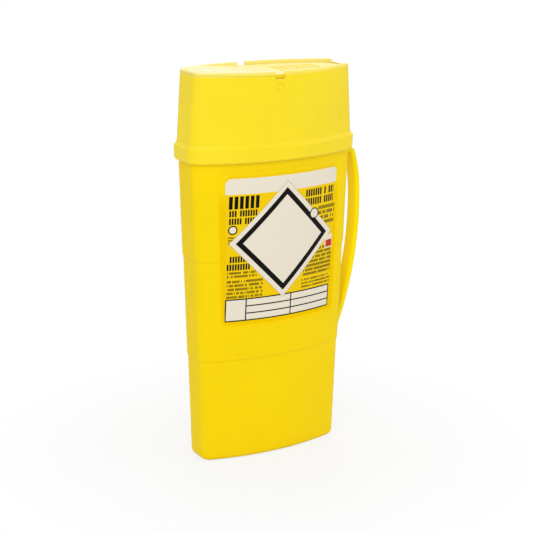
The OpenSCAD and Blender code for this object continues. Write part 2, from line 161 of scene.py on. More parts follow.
def chained(*runs):
    """Runs of values end to end, with the shared ends kept once."""
    out = []
    for run in runs:
        out += run if not out else run[1:]
    return out


class ContainerSizes(bpy.types.PropertyGroup):
    panel_blend: bpy.props.FloatProperty(
        name="Panel edge", description="Width over which the label panel sinks into the wall",
        default=1.0 * MM, min=0.3 * MM, max=1.2 * MM, unit="LENGTH")
    edge_round: bpy.props.FloatProperty(
        name="Edge radius", description="Rounding on the moulded edges of the lid, flap and tab",
        default=0.25 * MM, min=0.05 * MM, max=0.5 * MM, unit="LENGTH")
    strap_edge: bpy.props.FloatProperty(
        name="Strap edge radius", description="Rounding on the strap's long edges",
        default=1.1 * MM, min=0.4 * MM, max=1.4 * MM, unit="LENGTH")
    grain: bpy.props.FloatProperty(
        name="Mould grain", description="Size of the fine texture that the mould leaves",
        default=0.8 * MM, min=0.3 * MM, max=3 * MM, unit="LENGTH")
    print_line: bpy.props.FloatProperty(
        name="Printed line", description="Width of the table's lines on the label",
        default=0.7 * MM, min=0.2 * MM, max=1.2 * MM, unit="LENGTH")


def colour_property(name, description, hexa):
    """A colour setting whose default is an sRGB hex colour."""
    return bpy.props.FloatVectorProperty(
        name=name, description=description, subtype="COLOR", size=3, min=0, max=1,
        default=linear(hexa))


class ContainerColours(bpy.types.PropertyGroup):
    tub: colour_property("Tub", "Deep yellow polypropylene of the tub and strap", "#FFDC04")
    lid: colour_property("Lid", "Light yellow polypropylene of the lid, flap and tab", "#FFE324")
    # Painted light: the strap's colour is lighter and more lemon than the tub's, for the light that comes
    # through it
    strap: colour_property("Strap", "The same plastic where it is thin and lets light through", "#FFE90A")
    ground: colour_property("Label ground", "Yellow printed ground of the label", "#F5CD02")
    cream: colour_property("Label cream", "Unprinted film of the header, diamond and table", "#EBE3D0")
    ink: colour_property("Ink", "Black print", "#0F0B09")
    accent: colour_property("Accent ink", "Red print", "#C8352B")


# ---------------------------------------------------------------- materials


def put(tree, kind, inputs=None, **settings):
    """Adds a node. A socket among the inputs is linked, any other value is set."""
    made = tree.nodes.new(kind)
    for key, value in settings.items():
        setattr(made, key, value)
    for key, value in (inputs or {}).items():
        if isinstance(value, bpy.types.NodeSocket):
            tree.links.new(value, made.inputs[key])
        else:
            made.inputs[key].default_value = value
    return made


def fresh_material(name):
    """A material with an output only, and its object coordinates in millimetres."""
    material = bpy.data.materials.get(name) or bpy.data.materials.new(name)
    material.use_nodes = True
    tree = material.node_tree
    tree.nodes.clear()
    place = put(tree, "ShaderNodeTexCoord")
    scaled = put(tree, "ShaderNodeVectorMath", {0: place.outputs["Object"], "Scale": 1 / MM},
                 operation="SCALE")
    return material, tree, scaled.outputs[0]


# Sizes of the plastic's patterns: flow marks, rubbed patches and slow waves
FLOW_MM = 34
RUBBED_MM = 7
WAVE_MM = 22
# How high the waves and the mould grain stand
WAVE_H = 0.25
GRAIN_H = 0.02
# What a flow mark keeps of the plastic's red, green and blue, and what the sunk panel's painted shade keeps
FLOW_TINT = (0.93, 0.93, 0.8)
PANEL_SHADE_TINT = (0.95, 0.86, 0.3)
# The share of a level face's dust that an upright one has
UPRIGHT_DUST = 0.22
# Painted light: heights over which the thin rim is painted pale, a painted glow of light through it, how
# far it goes towards that paler colour, how much higher a face that looks inwards counts, and how much
# lower a level one.
# An inward face is one whose Y times its normal's Y falls from 0 to RIM_TURN.
RIM_GLOW_Z = (216.5, 219.5)
RIM_GLOW_SHARE = 0.7
RIM_GLOW_COLOUR = "#FFF2A4"
RIM_INWARD = 2.0
RIM_TURN = -4.0
RIM_LEVEL = 1.0


def polypropylene(name, colour, grain_mm, specular, roughness, sheen):
    """Injection-moulded polypropylene: a waxy satin skin, slightly see-through, with a fine
    mould grain, faint flow marks where the melt met, and a slow waviness of the thin wall. Where
    a mesh says "panel", the sunk wall is painted deeper yellow, a painted shade of the recess, with less
    shine.
    Fine dust makes what faces up paler at a low angle, and the lid's top is painted pale, a painted glow of
    light through the thin rim."""
    material, tree, place = fresh_material(name)
    flow = put(tree, "ShaderNodeTexNoise",
               {"Vector": place, "Scale": 1 / FLOW_MM, "Detail": 2.0, "Distortion": 0.6})
    rubbed = put(tree, "ShaderNodeTexNoise", {"Vector": place, "Scale": 1 / RUBBED_MM, "Detail": 5.0})
    fine = put(tree, "ShaderNodeTexNoise", {"Vector": place, "Scale": 1 / grain_mm, "Detail": 3.0})
    wave = put(tree, "ShaderNodeTexNoise", {"Vector": place, "Scale": 1 / WAVE_MM, "Detail": 1.0})
    shade = [c * kept for c, kept in zip(colour, FLOW_TINT)]
    tone = put(tree, "ShaderNodeMapRange", {0: flow.outputs["Fac"], 1: 0.35, 2: 0.7, 3: 0.0, 4: 0.55})
    body = put(tree, "ShaderNodeMix", {0: tone.outputs[0], 6: (*colour, 1), 7: (*shade, 1)},
               data_type="RGBA")
    # Painted shade: where the mesh's "panel" float says so, the colour is multiplied deeper yellow, a
    # painted shade of the sunk recess
    panel = put(tree, "ShaderNodeAttribute", attribute_name="panel").outputs["Fac"]
    deeper = put(tree, "ShaderNodeMix", {0: panel, 6: body.outputs[2], 7: (*PANEL_SHADE_TINT, 1)},
                 data_type="RGBA", blend_type="MULTIPLY")
    shine = put(tree, "ShaderNodeMapRange", {0: panel, 3: specular, 4: 0.0})
    facing = put(tree, "ShaderNodeSeparateXYZ", {0: put(tree, "ShaderNodeTexCoord").outputs["Normal"]})
    at = put(tree, "ShaderNodeSeparateXYZ", {0: place}).outputs
    # Painted light: near the lid's top, inward faces most and level faces least, the colour is mixed
    # towards a pale one, a painted glow of light through the thin rim
    outward = put(tree, "ShaderNodeMath", {0: at[1], 1: facing.outputs[1]}, operation="MULTIPLY")
    lift = put(tree, "ShaderNodeMapRange",
               {0: outward.outputs[0], 1: RIM_TURN, 2: 0.0, 3: RIM_INWARD, 4: 0.0})
    lifted = put(tree, "ShaderNodeMath", {0: at[2], 1: lift.outputs[0]}, operation="ADD")
    height = put(tree, "ShaderNodeMath",
                 {0: facing.outputs[2], 1: -RIM_LEVEL, 2: lifted.outputs[0]}, operation="MULTIPLY_ADD")
    thin = put(tree, "ShaderNodeMapRange",
               {0: height.outputs[0], 1: RIM_GLOW_Z[0], 2: RIM_GLOW_Z[1], 3: 0.0, 4: RIM_GLOW_SHARE})
    seen = put(tree, "ShaderNodeMix",
               {0: thin.outputs[0], 6: deeper.outputs[2], 7: (*linear(RIM_GLOW_COLOUR), 1)}, data_type="RGBA")
    dust = put(tree, "ShaderNodeMapRange",
               {0: facing.outputs[2], 1: 0.5, 2: 0.95, 3: UPRIGHT_DUST * sheen, 4: sheen})
    skin = put(tree, "ShaderNodeMapRange",
               {0: rubbed.outputs["Fac"], 1: 0.3, 2: 0.75, 3: roughness - 0.03, 4: roughness + 0.05})
    slow = put(tree, "ShaderNodeBump",
               {"Height": wave.outputs["Fac"], "Distance": WAVE_H * MM, "Strength": 0.35})
    grain = put(tree, "ShaderNodeBump", {
        "Height": fine.outputs["Fac"], "Distance": GRAIN_H * MM, "Strength": 0.3,
        "Normal": slow.outputs[0]})
    shader = put(tree, "ShaderNodeBsdfPrincipled", {
        "Base Color": seen.outputs[2], "Roughness": skin.outputs[0], "Normal": grain.outputs[0],
        "IOR": 1.49, "Specular IOR Level": shine.outputs[0],
        "Sheen Weight": dust.outputs[0], "Sheen Roughness": 0.3,
        "Subsurface Weight": 0.12, "Subsurface Radius": (1.0, 0.92, 0.3), "Subsurface Scale": 1.2 * MM})
    put(tree, "ShaderNodeOutputMaterial", {"Surface": shader.outputs[0]})
    return material


def word_rows_group():
    """A mask of rows of plain printed blocks, which stand for lines of words with no letter."""
    name = "Word rows"
    if name in bpy.data.node_groups:
        return bpy.data.node_groups[name]
    group = bpy.data.node_groups.new(name, "ShaderNodeTree")
    for label in ("X", "Z", *WORD_ROW_INPUTS):
        group.interface.new_socket(label, in_out="INPUT", socket_type="NodeSocketFloat")
    group.interface.new_socket("Mask", in_out="OUTPUT", socket_type="NodeSocketFloat")
    into = group.nodes.new("NodeGroupInput").outputs

    def sum_of(operation, *values):
        return put(group, "ShaderNodeMath", dict(enumerate(values)), operation=operation).outputs[0]

    down = sum_of("DIVIDE", sum_of("SUBTRACT", into["Top"], into["Z"]), into["Pitch"])
    row = sum_of("FLOOR", down)
    bar = sum_of("LESS_THAN", sum_of("FRACT", down), into["Bar"])
    inside = sum_of("MULTIPLY", sum_of("GREATER_THAN", row, -0.5), sum_of("LESS_THAN", row, into["Rows"]))
    across = sum_of("COMPARE", into["X"], into["Middle X"], into["Half width"])
    block = sum_of("MULTIPLY", sum_of("MULTIPLY", into["Pitch"], into["Bar"]), BLOCK_WIDTH)
    start = sum_of("SUBTRACT", into["X"], sum_of("SUBTRACT", into["Middle X"], into["Half width"]))
    along = sum_of("DIVIDE", start, block)
    stroke = sum_of("LESS_THAN", sum_of("FRACT", along), BLOCK_INK)
    spot = put(group, "ShaderNodeCombineXYZ", {
        0: sum_of("FLOOR", along), 1: sum_of("MULTIPLY_ADD", row, 5.37, into["Seed"])})
    chance = put(group, "ShaderNodeTexWhiteNoise", {"Vector": spot.outputs[0]}, noise_dimensions="2D")
    word = sum_of("GREATER_THAN", chance.outputs["Value"], into["Gaps"])
    mask = sum_of("MULTIPLY", sum_of("MULTIPLY", bar, inside), sum_of("MULTIPLY", across, stroke))
    put(group, "NodeGroupOutput", {"Mask": sum_of("MULTIPLY", mask, word)})
    return group


# A printed block's width as a share of its height, and the share of that width inked
BLOCK_WIDTH = 0.42
BLOCK_INK = 0.68
WORD_ROW_INPUTS = ("Middle X", "Half width", "Top", "Rows", "Pitch", "Bar", "Gaps", "Seed")
# Bar is the share of a row's pitch that is inked, Gaps the share of blocks left out
WORD_ROWS = (
    (-23.4, 8.7, 153.0, 1, 8.0, 0.88, 0.0, 3.0),
    (-23.9, 7.8, 145.2, 2, 4.3, 0.8, 0.08, 8.0),
    (-29.0, 2.9, 130.6, 3, 1.5, 0.6, 0.1, 2.0),
    (-25.5, 6.5, 119.6, 2, 4.4, 0.8, 0.06, 5.0),
    (-23.3, 8.4, 110.8, 2, 2.0, 0.66, 0.12, 9.0),
    (-21.4, 10.2, 105.9, 5, 2.2, 0.64, 0.18, 4.0),
    (23.8, 11.2, 152.6, 2, 5.0, 0.8, 0.1, 6.0),
    (29.9, 6.8, 142.0, 4, 2.9, 0.66, 0.16, 1.0),
    (25.7, 10.8, 118.6, 7, 2.3, 0.66, 0.14, 7.0),
    (24.6, 10.6, 101.6, 3, 2.0, 0.55, 0.18, 2.5),
)
DIAMOND = (1.6, 126.6)
DIAMOND_R = (32.9, 29.2, 25.2)
# Round marks left plain: X, Z, radius
DISCS = ((-29.5, 134.4, 2.6), (20.8, 138.6, 3.2))
PATCH = (30.2, 37.0, 116.7, 124.4)
PATCH_BAR = (30.9, 35.6, 117.3, 121.3)
TABLE = (-31.8, 34.5, 82.6, 94.9)
TABLE_ROWS = (86.6, 90.8)
TABLE_COLUMNS = (-20.4, 7.1)
# The header's foot and top, half its width at its rounded upper corners, and their radius
HEADER_Z = (154.0, 162.7)
HEADER_HALF = 35.9
HEADER_R = 3.4
# The cut line around the diamond: its colour and width
DIE_LINE = "#B08A4A"
DIE_LINE_W = 0.3
# Sizes of the film's patterns: its fine texture and the waves where it lifts, and their heights
FIBRE_MM = 1.6
LIFTED_MM = 26
FIBRE_H = 0.01
LIFTED_H = 0.2


def label_film(name, colours, line_mm):
    """Self-adhesive polypropylene film, printed by flexography: flat inks with crisp edges under
    a thin gloss varnish, so the ink lies in the surface and all of it shines alike."""
    material, tree, place = fresh_material(name)
    axes = put(tree, "ShaderNodeSeparateXYZ", {0: place})

    def sum_of(operation, *values):
        return put(tree, "ShaderNodeMath", dict(enumerate(values)), operation=operation).outputs[0]

    z = axes.outputs[2]
    leaned = sum_of("MULTIPLY", sum_of("SUBTRACT", z, LABEL_MID_Z), LABEL_LEAN)
    x = sum_of("SUBTRACT", axes.outputs[0], leaned)
    flat = put(tree, "ShaderNodeCombineXYZ", {0: x, 1: z}).outputs[0]

    def box(left, right, low, high):
        return sum_of("MULTIPLY",
                      sum_of("COMPARE", x, (left + right) / 2, (right - left) / 2),
                      sum_of("COMPARE", z, (low + high) / 2, (high - low) / 2))

    def laid(under, mask, colour):
        return put(tree, "ShaderNodeMix", {0: mask, 6: under, 7: colour}, data_type="RGBA").outputs[2]

    inks = (colours.ground, colours.cream, colours.ink, colours.accent)
    ground, cream, ink, accent = ((*one, 1) for one in inks)
    words = word_rows_group()
    print_mask = None
    for row in WORD_ROWS:
        one = put(tree, "ShaderNodeGroup", node_tree=words)
        tree.links.new(x, one.inputs["X"])
        tree.links.new(z, one.inputs["Z"])
        for key, value in zip(WORD_ROW_INPUTS, row):
            one.inputs[key].default_value = value
        print_mask = one.outputs[0] if print_mask is None else sum_of("MAXIMUM", print_mask, one.outputs[0])
    colour = laid(ground, print_mask, ink)
    foot, top = HEADER_Z
    aside = sum_of("SUBTRACT", sum_of("ABSOLUTE", sum_of("SUBTRACT", x, PANEL_X)), HEADER_HALF - HEADER_R)
    corner = put(tree, "ShaderNodeCombineXYZ", {
        0: sum_of("MAXIMUM", aside, 0.0), 1: sum_of("MAXIMUM", sum_of("SUBTRACT", z, top - HEADER_R), 0.0)})
    out = put(tree, "ShaderNodeVectorMath", {0: corner.outputs[0]}, operation="LENGTH").outputs["Value"]
    header = sum_of("MULTIPLY", sum_of("GREATER_THAN", z, foot), sum_of("LESS_THAN", out, HEADER_R))
    colour = laid(colour, header, cream)
    left, right, low, high = TABLE
    half = line_mm / 2
    colour = laid(colour, box(left - half, right + half, low - half, high + half), ink)
    edges = [left, *TABLE_COLUMNS, right]
    for a, b in zip(edges, edges[1:]):
        levels = [low, high] if a == left else [low, *TABLE_ROWS, high]
        for c, d in zip(levels, levels[1:]):
            colour = laid(colour, box(a + half, b - half, c + half, d - half), cream)
    around = sum_of("ADD",
                    sum_of("ABSOLUTE", sum_of("SUBTRACT", x, DIAMOND[0])),
                    sum_of("ABSOLUTE", sum_of("SUBTRACT", z, DIAMOND[1])))
    outer, frame_out, frame_in = DIAMOND_R
    colour = laid(colour, sum_of("LESS_THAN", around, outer + DIE_LINE_W), (*linear(DIE_LINE), 1))
    colour = laid(colour, sum_of("LESS_THAN", around, outer), cream)
    colour = laid(colour, sum_of("LESS_THAN", around, frame_out), ink)
    colour = laid(colour, sum_of("LESS_THAN", around, frame_in), cream)
    for disc_x, disc_z, radius in DISCS:
        far = put(tree, "ShaderNodeVectorMath", {0: flat, 1: (disc_x, disc_z, 0)},
                  operation="DISTANCE").outputs["Value"]
        colour = laid(colour, sum_of("LESS_THAN", far, radius), ink)
        colour = laid(colour, sum_of("LESS_THAN", far, radius - line_mm), cream)
    colour = laid(colour, box(*PATCH), cream)
    colour = laid(colour, box(*PATCH_BAR), accent)
    fibre = put(tree, "ShaderNodeTexNoise", {"Vector": place, "Scale": 1 / FIBRE_MM, "Detail": 4.0})
    lifted = put(tree, "ShaderNodeTexNoise", {"Vector": place, "Scale": 1 / LIFTED_MM, "Detail": 1.0})
    skin = put(tree, "ShaderNodeMapRange", {0: fibre.outputs["Fac"], 1: 0.3, 2: 0.7, 3: 0.3, 4: 0.42})
    slow = put(tree, "ShaderNodeBump",
               {"Height": lifted.outputs["Fac"], "Distance": LIFTED_H * MM, "Strength": 0.3})
    peel = put(tree, "ShaderNodeBump", {
        "Height": fibre.outputs["Fac"], "Distance": FIBRE_H * MM, "Strength": 0.25,
        "Normal": slow.outputs[0]})
    shader = put(tree, "ShaderNodeBsdfPrincipled", {
        "Base Color": colour, "Roughness": skin.outputs[0], "Normal": peel.outputs[0],
        "IOR": 1.49, "Specular IOR Level": 0.1})
    put(tree, "ShaderNodeOutputMaterial", {"Surface": shader.outputs[0]})
    return material


def tub_plastic(scene):
    """The tub's deep yellow, with a dull skin."""
    return polypropylene("Polypropylene moulded deep yellow", list(scene.sharps_colours.tub),
                         scene.sharps_sizes.grain / MM, specular=0.08, roughness=0.36, sheen=0.0)


def strap_plastic(scene):
    """The same plastic in the strap, painted lighter than the tub: painted light for what comes through the
    thin strap.
    """
    return polypropylene("Polypropylene moulded thin strap", list(scene.sharps_colours.strap),
                         scene.sharps_sizes.grain / MM, specular=0.05, roughness=0.36, sheen=0.0)


def lid_plastic(scene):
    """The lid's light yellow, which is shinier and shows dust, with the painted glow near its thin rim."""
    return polypropylene("Polypropylene moulded light yellow", list(scene.sharps_colours.lid),
                         scene.sharps_sizes.grain / MM, specular=0.2, roughness=0.3, sheen=0.5)


# ---------------------------------------------------------------- mesh helpers


def keep(name, mesh, material, body, replaced=()):
    """Links a finished mesh as a piece at the origin that rides on its body."""
    piece = bpy.data.objects.new(name, mesh)
    bpy.context.scene.collection.objects.link(piece)
    mesh.materials.clear()
    mesh.materials.append(material)
    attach(piece, body)
    if replaced:
        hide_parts(*replaced)
    return piece


def mesh_from(name, points, faces, sharp_degrees=40):
    """A mesh from points in millimetres, its faces turned outwards and shaded smooth up to an angle."""
    mesh = bpy.data.meshes.new(name)
    mesh.from_pydata([[c * MM for c in p] for p in points], [], faces)
    shape = bmesh.new()
    shape.from_mesh(mesh)
    bmesh.ops.recalc_face_normals(shape, faces=shape.faces)
    shape.to_mesh(mesh)
    shape.free()
    mesh.shade_smooth()
    mesh.set_sharp_from_angle(angle=radians(sharp_degrees))
    return mesh


def lofted(rings, caps=True):
    """Points and faces of a skin over closed rings that all have the same number of points."""
    count = len(rings[0])
    points = [p for ring in rings for p in ring]
    faces = []
    for k in range(len(rings) - 1):
        for i in range(count):
            j = (i + 1) % count
            faces.append((k * count + i, k * count + j, (k + 1) * count + j, (k + 1) * count + i))
    if caps:
        for start, ring in ((0, rings[0]), ((len(rings) - 1) * count, rings[-1])):
            points.append([sum(p[a] for p in ring) / count for a in range(3)])
            faces += [(start + i, start + (i + 1) % count, len(points) - 1) for i in range(count)]
    return points, faces


def finished(piece):
    """The piece's evaluated shape as a plain mesh, with its modifiers gone."""
    evaluated = piece.evaluated_get(bpy.context.evaluated_depsgraph_get())
    mesh = bpy.data.meshes.new_from_object(evaluated)
    piece.modifiers.clear()
    bpy.data.objects.remove(piece)
    return mesh


def plan_normal(section, x, y):
    """The outward direction in plan of the section's outline next to a point."""
    reach, arc, spread_angle, centre = core(section)
    past, flat = abs(x) - reach, abs(y) - section[2]
    if past > 0 and flat <= 0:
        across, along = 1.0, 0.0
    elif past > 0 and atan2(past, flat) >= spread_angle:
        across, along = past, flat
    else:
        across, along = abs(x), abs(y) - centre
    return Vector((copysign(across, x), copysign(along, y), 0)).normalized()


def smoothed_walls(mesh):
    """Lays the true normals of the drafted, bowed walls over their flat facets."""
    normals = []
    for face in mesh.polygons:
        face_flat = Vector((face.normal.x, face.normal.y, 0))
        for corner in face.loop_indices:
            normal = mesh.corner_normals[corner].vector.copy()
            x, y, z = mesh.vertices[mesh.loops[corner].vertex_index].co / MM
            section = lid_section(z) if z > COLLAR_TOP else tub_section(z)
            out = plan_normal(section, x, y)
            lean = face_flat.dot(out)
            if face_flat.length > WALL_UPRIGHT and abs(lean) > cos(WALL_TURN) * face_flat.length:
                up = face.normal.z if abs(face.normal.z) < WALL_SLOPE else normal.z
                normal = out * copysign(sqrt(max(1 - up * up, 0)), lean) + Vector((0, 0, up))
            normals.append(normal)
    mesh.normals_split_custom_set(normals)
    return mesh


def let_down_lip(vertices, drop):
    """Lowers the points on the underside of the flap's lip, so that its seam shows less."""
    (ramp_x, ramp_z), (side_x, side_z) = LIP_SEAT
    for vertex in vertices:
        x, _, z = vertex.co / MM
        seat = mix(ramp_z, side_z, max((x - ramp_x) / (side_x - ramp_x), 0))
        if x < side_x + LIP_NEAR[0] and abs(z - seat) < LIP_NEAR[1]:
            vertex.co.z -= drop * MM


def dressed_copy(node, edge_m, let_down=0.0):
    """A CAD node's shape with its loose triangles merged, flats joined and edges rounded. The
    shortest edges are closed up first, because the rounding is no wider than they allow."""
    shape = bmesh.new()
    shape.from_mesh(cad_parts[node].data)
    bmesh.ops.remove_doubles(shape, verts=shape.verts, dist=SAME_POINT_M)
    let_down_lip(shape.verts, let_down)
    bmesh.ops.dissolve_limit(shape, angle_limit=FLAT, verts=shape.verts, edges=shape.edges)
    bmesh.ops.remove_doubles(shape, verts=shape.verts, dist=SHORT_EDGE_M)
    mesh = bpy.data.meshes.new(node)
    shape.to_mesh(mesh)
    shape.free()
    mesh.shade_smooth()
    helper = bpy.data.objects.new(node + "_copy", mesh)
    bpy.context.scene.collection.objects.link(helper)
    rounding = helper.modifiers.new("Edge rounding", "BEVEL")
    rounding.width = edge_m
    rounding.segments = 2
    rounding.limit_method = "ANGLE"
    rounding.angle_limit = SHARP
    rounding.use_clamp_overlap = True
    weighted = helper.modifiers.new("Face weighted", "WEIGHTED_NORMAL")
    weighted.keep_sharp = False
    bpy.context.view_layer.update()
    return smoothed_walls(finished(helper))


# ---------------------------------------------------------------- plan sections


def core(section):
    """Core half length, arc radius, arc half angle and arc centre's distance of a section."""
    length, depth, flat, radius = section
    reach = length - radius
    sag = depth - radius - flat
    arc = (reach * reach + sag * sag) / (2 * sag)
    return reach, arc, asin(reach / arc), depth - radius - arc


def tub_section(z):
    """The tub's plan section at a height."""
    t = z / SHELL_H
    return tuple(mix(a, b, t) for a, b in zip(BASE_SECTION, COLLAR_SECTION))


def lid_section(z):
    """The lid's plan section at a height above the collar."""
    foot = tub_section(COLLAR_TOP)
    foot = (foot[0] + LID_FOOT_OUT, foot[1] + LID_FOOT_OUT, foot[2], foot[3] + LID_FOOT_OUT)
    t = (z - COLLAR_TOP) / (TOTAL_H - COLLAR_TOP)
    return tuple(mix(a, b, t) for a, b in zip(foot, LID_TOP_SECTION))


def front_point(section, growth, angle):
    """A point of the front arc, the section grown outwards, at an angle from its middle."""
    _, arc, _, centre = core(section)
    width = arc + section[3] + growth
    return width * sin(angle), -centre - width * cos(angle)


def step_growth(z):
    """The wall steps in below each nesting step, with a short run-out."""
    return -STEP_IN * sum(1 - smooth(s - STEP_RUN / 2, s + STEP_RUN / 2, z) for s in STEPS_Z)


def panel_half(z):
    """Half the label panel's width at a height."""
    return mix(PANEL_W[0], PANEL_W[1], (z - PANEL_Z) / PANEL_H) / 2


def panel_distance(x, z, margin=0.0):
    """Distance outside the panel's rounded outline, negative inside."""
    radius = PANEL_R
    across = abs(x - PANEL_X) - (panel_half(z) - margin - radius)
    along = abs(z - PANEL_Z - PANEL_H / 2) - (PANEL_H / 2 - margin - radius)
    return hypot(max(across, 0), max(along, 0)) + min(max(across, along), 0) - radius


def tub_ring(z, level, growth, blend=0.0):
    """One closed ring of the tub at the section of height z, laid at the given level. The front's
    columns follow the panel's two sides, so that its edges stay clean."""
    section = tub_section(z)
    reach, arc, spread_angle, centre = core(section)
    radius = section[3]
    limit = (arc + radius) * sin(spread_angle)
    half = panel_half(z)
    left, right = PANEL_X - half, PANEL_X + half
    top = PANEL_Z + PANEL_H
    soft = blend / 2 * mix(1, PANEL_FADE, smooth(top - PANEL_FADE_H, top, z))
    columns = chained(
        spread(-limit, left - EDGE_ZONE, 7), spread(left - EDGE_ZONE, left + EDGE_ZONE, 8),
        spread(left + EDGE_ZONE, left + NEAR_X, 6), spread(left + NEAR_X, right - NEAR_X, 34),
        spread(right - NEAR_X, right - EDGE_ZONE, 6), spread(right - EDGE_ZONE, right + EDGE_ZONE, 8),
        spread(right + EDGE_ZONE, limit, 7))
    points = []
    for x in columns:
        sunk = 0.0
        if blend:
            sunk = (growth + PANEL_IN) * (1 - smooth(-soft, soft, panel_distance(x, z)))
        points.append(front_point(section, growth - sunk, asin(x / (arc + radius))))
    corner = radius + growth
    turn = spread(spread_angle, pi / 2, 8)
    flat = section[2]
    right_side = [(reach + corner * sin(t), -flat - corner * cos(t)) for t in turn[1:]]
    right_side += [(reach + corner, y) for y in spread(-flat, flat, 4)[1:-1]]
    right_side += [(reach + corner * sin(t), flat + corner * cos(t)) for t in reversed(turn)]
    back = [(arc + radius + growth, t) for t in spread(spread_angle, -spread_angle, 32)[1:]]
    points += right_side
    points += [(w * sin(t), centre + w * cos(t)) for w, t in back]
    points += [(-x, -y) for x, y in right_side[:-1]]
    return [(x, y, level) for x, y in points]


def tub_mesh(blend):
    """The tub's skin: rings from the foot up the outside, over the rim and down the inside. A
    float on each point, "panel", says how much of the sunk panel's painted shade it takes."""
    floor_top = TUB_FLOOR + FLOOR_R
    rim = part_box("container_body")[1].z / MM
    panel_top = PANEL_Z + PANEL_H
    bead_out, bead_h, bead_drop = BEAD
    bead_top = rim - bead_drop
    bead_low = bead_top - bead_h
    low, high = STEPS_Z
    step = STEP_RUN * 0.75
    levels = chained(
        spread(FOOT_R, low - step, 12), spread(low - step, low + step, 8),
        spread(low + step, PANEL_Z - EDGE_ZONE, 5), spread(PANEL_Z - EDGE_ZONE, PANEL_Z + EDGE_ZONE, 8),
        spread(PANEL_Z + EDGE_ZONE, PANEL_Z + NEAR_Z, 6), spread(PANEL_Z + NEAR_Z, high - step, 8),
        spread(high - step, high + step, 8), spread(high + step, panel_top - NEAR_Z, 12),
        spread(panel_top - NEAR_Z, panel_top - EDGE_ZONE, 6),
        spread(panel_top - EDGE_ZONE, panel_top + EDGE_ZONE, 8), spread(panel_top + EDGE_ZONE, SHELL_H, 2))
    foot = step_growth(0)
    rings = [tub_ring(0, FOOT_R * (1 - cos(t)), foot - FOOT_R * (1 - sin(t)))
             for t in spread(0, pi / 2, 8)[:-1]]
    rings += [tub_ring(z, z, step_growth(z), blend) for z in levels]
    rings += [tub_ring(z, z, g) for z, g in (
        (bead_low, 0), (bead_low + bead_out, bead_out), (bead_top - bead_out, bead_out), (bead_top, 0),
        (rim, -RIM_CHAMFER), (rim, RIM_CHAMFER - TUB_WALL), (rim - RIM_CHAMFER, -TUB_WALL))]
    inner = [SHELL_H, *INNER_Z, high + step, high - step, low + step, low - step, floor_top + 2]
    rings += [tub_ring(z, z, step_growth(z) - TUB_WALL) for z in sorted(inner, reverse=True)]
    rings += [tub_ring(0, TUB_FLOOR + FLOOR_R * (1 - sin(t)), foot - TUB_WALL - FLOOR_R * (1 - cos(t)))
              for t in spread(0, pi / 2, 5)]
    mesh = mesh_from("tub_shell", *lofted(rings), sharp_degrees=50)
    # The "panel" float marks the painted shade: the sunk panel inside its outline, fading out below the
    # header
    marks = mesh.attributes.new("panel", "FLOAT", "POINT")
    for vertex, mark in zip(mesh.vertices, marks.data):
        x, y, z = vertex.co / MM
        if y < 0:
            inside = 1 - smooth(-PANEL_SHADE_SOFT, PANEL_SHADE_SOFT, panel_distance(x, z))
            mark.value = inside * (1 - smooth(*PANEL_SHADE_FADE_Z, z))
    return mesh


def label_mesh():
    """The label: a thin sheet with rounded corners that follows the sunk panel."""
    top = PANEL_Z + PANEL_H - LABEL_MARGIN
    low = PANEL_Z + LABEL_MARGIN
    r_low, r_high = LABEL_R
    levels = chained(spread(low, low + r_low, 6), spread(low + r_low, top - r_high, 40),
                     spread(top - r_high, top, 10))
    count = 60
    sheets = []
    for lift in (LABEL_T, LABEL_BACK):
        rows = []
        for z in levels:
            radius = r_low if z < (low + top) / 2 else r_high
            cut = max(low + radius - z, z - top + radius, 0)
            half = panel_half(z) - LABEL_MARGIN - radius + sqrt(max(radius**2 - cut**2, 0))
            section = tub_section(z)
            arc = core(section)[1]
            row = []
            middle = PANEL_X + LABEL_LEAN * (z - LABEL_MID_Z)
            for x in spread(middle - half, middle + half, count):
                px, py = front_point(section, lift - PANEL_IN, asin(x / (arc + section[3])))
                row.append((px, py, z))
            rows.append(row)
        sheets.append(rows)
    points = [p for rows in sheets for row in rows for p in row]
    wide, tall = count + 1, len(levels)
    faces = []
    for s in (0, 1):
        base = s * wide * tall
        for k in range(tall - 1):
            for i in range(count):
                a = base + k * wide + i
                faces.append((a, a + 1, a + wide + 1, a + wide))
    edge = [*range(wide)] + [k * wide + count for k in range(1, tall)]
    edge += [(tall - 1) * wide + i for i in reversed(range(count))]
    edge += [k * wide for k in range(tall - 2, 0, -1)]
    back = wide * tall
    for a, b in zip(edge, edge[1:] + edge[:1]):
        faces.append((a, b, b + back, a + back))
    return mesh_from("label_film", points, faces)


# ---------------------------------------------------------------- strap


def strap_path():
    """The strap's middle line in the XZ plane, from inside the wall below to under the collar."""
    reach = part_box("carry_handle")[1].x / MM
    bow_x = reach - STRAP_T / 2 - BOW_R
    low = asin((BOW_Z - STEPS_Z[0]) / BOW_R)
    high = asin((TURN_Z - BOW_Z) / BOW_R)
    turn_x = bow_x + (BOW_R - TURN_R) * cos(high)
    turn_z = BOW_Z + (BOW_R - TURN_R) * sin(high)
    crook_z = SHELL_H - CROOK_GAP - STRAP_T / 2 - CROOK_R
    turned = asin((crook_z - turn_z) / (TURN_R - CROOK_R))
    crook_x = turn_x + (TURN_R - CROOK_R) * cos(turned)
    path = [(bow_x + BOW_R * cos(t), BOW_Z + BOW_R * sin(t)) for t in spread(-low, high, 48)]
    path += [(turn_x + TURN_R * cos(t), turn_z + TURN_R * sin(t)) for t in spread(high, turned, 12)[1:]]
    path += [(crook_x + CROOK_R * cos(t), crook_z + CROOK_R * sin(t))
             for t in spread(turned, pi / 2, 14)[1:]]
    path.append((COLLAR_SECTION[0] - TUB_WALL, crook_z + CROOK_R))
    return path


